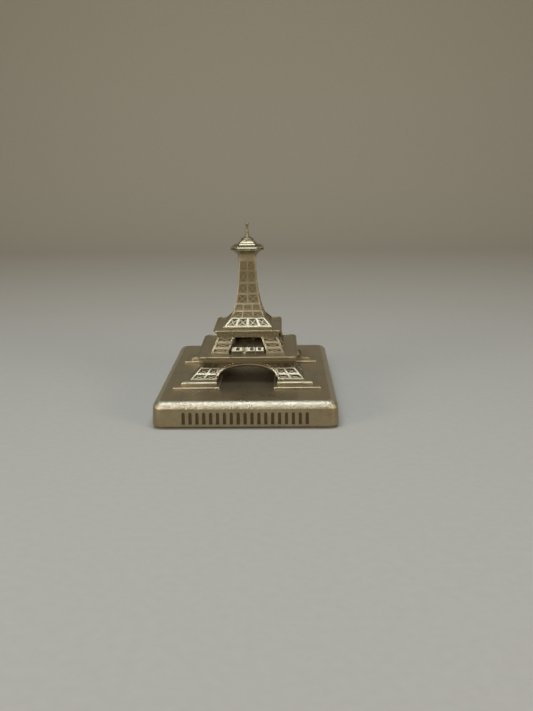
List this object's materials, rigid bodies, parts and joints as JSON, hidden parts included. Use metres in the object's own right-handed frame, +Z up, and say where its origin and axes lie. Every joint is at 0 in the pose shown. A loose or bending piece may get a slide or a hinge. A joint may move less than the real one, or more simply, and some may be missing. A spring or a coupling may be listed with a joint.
{
  "type": "miniature landmark model",
  "caption": "Small cast-metal desk model of a four-legged lattice tower with two decks, a tapering shaft, a gallery and a spire, standing on a rectangular plinth with a felt pad.",
  "frame": {"origin": "on the desk surface under the tower's centre line, at the middle of the felt pad's underside", "axes": "+Z up, +Y towards the back, along the plinth's long side; the front with the frieze faces -Y; +X to the right"},
  "size_m": [0.0768, 0.1004, 0.0791],
  "materials": {
    "plinth_casting": "antique bronze plating over a sand-textured casting, satin",
    "tower_casting": "antique bronze plating, satin, darker in the recesses",
    "steel_plate": "zinc-plated sheet",
    "steel_screws": "zinc-plated",
    "felt": "short black felt"
  },
  "bodies": {
    "root": {"plinth": "plinth_casting", "base_plate": "steel_plate", "felt_pad": "felt", "plate_screw_front_left": "steel_screws", "plate_screw_front_right": "steel_screws", "plate_screw_back_left": "steel_screws", "plate_screw_back_right": "steel_screws", "footing_front_left": "tower_casting", "footing_front_right": "tower_casting", "footing_back_left": "tower_casting", "footing_back_right": "tower_casting", "leg_screw_front_left": "steel_screws", "leg_screw_front_right": "steel_screws", "leg_screw_back_left": "steel_screws", "leg_screw_back_right": "steel_screws", "lower_leg_front_left": "tower_casting", "lower_leg_front_right": "tower_casting", "lower_leg_back_left": "tower_casting", "lower_leg_back_right": "tower_casting", "arch_front": "tower_casting", "arch_right": "tower_casting", "arch_back": "tower_casting", "arch_left": "tower_casting", "deck_1_girder": "tower_casting", "deck_1_plate": "tower_casting", "pavilion_front": "tower_casting", "pavilion_right": "tower_casting", "pavilion_back": "tower_casting", "pavilion_left": "tower_casting", "mid_leg_front_left": "tower_casting", "mid_leg_front_right": "tower_casting", "mid_leg_back_left": "tower_casting", "mid_leg_back_right": "tower_casting", "mid_screw_front_left": "steel_screws", "mid_screw_front_right": "steel_screws", "mid_screw_back_left": "steel_screws", "mid_screw_back_right": "steel_screws", "mid_ring_beam": "tower_casting", "deck_2_girder": "tower_casting", "deck_2_plate": "tower_casting", "shaft_base": "tower_casting", "shaft": "tower_casting", "shaft_screw": "steel_screws", "corbel": "tower_casting", "gallery": "tower_casting", "gallery_roof": "tower_casting", "cabin": "tower_casting", "dome": "tower_casting", "spire": "tower_casting"}
  },
  "joints": []
}
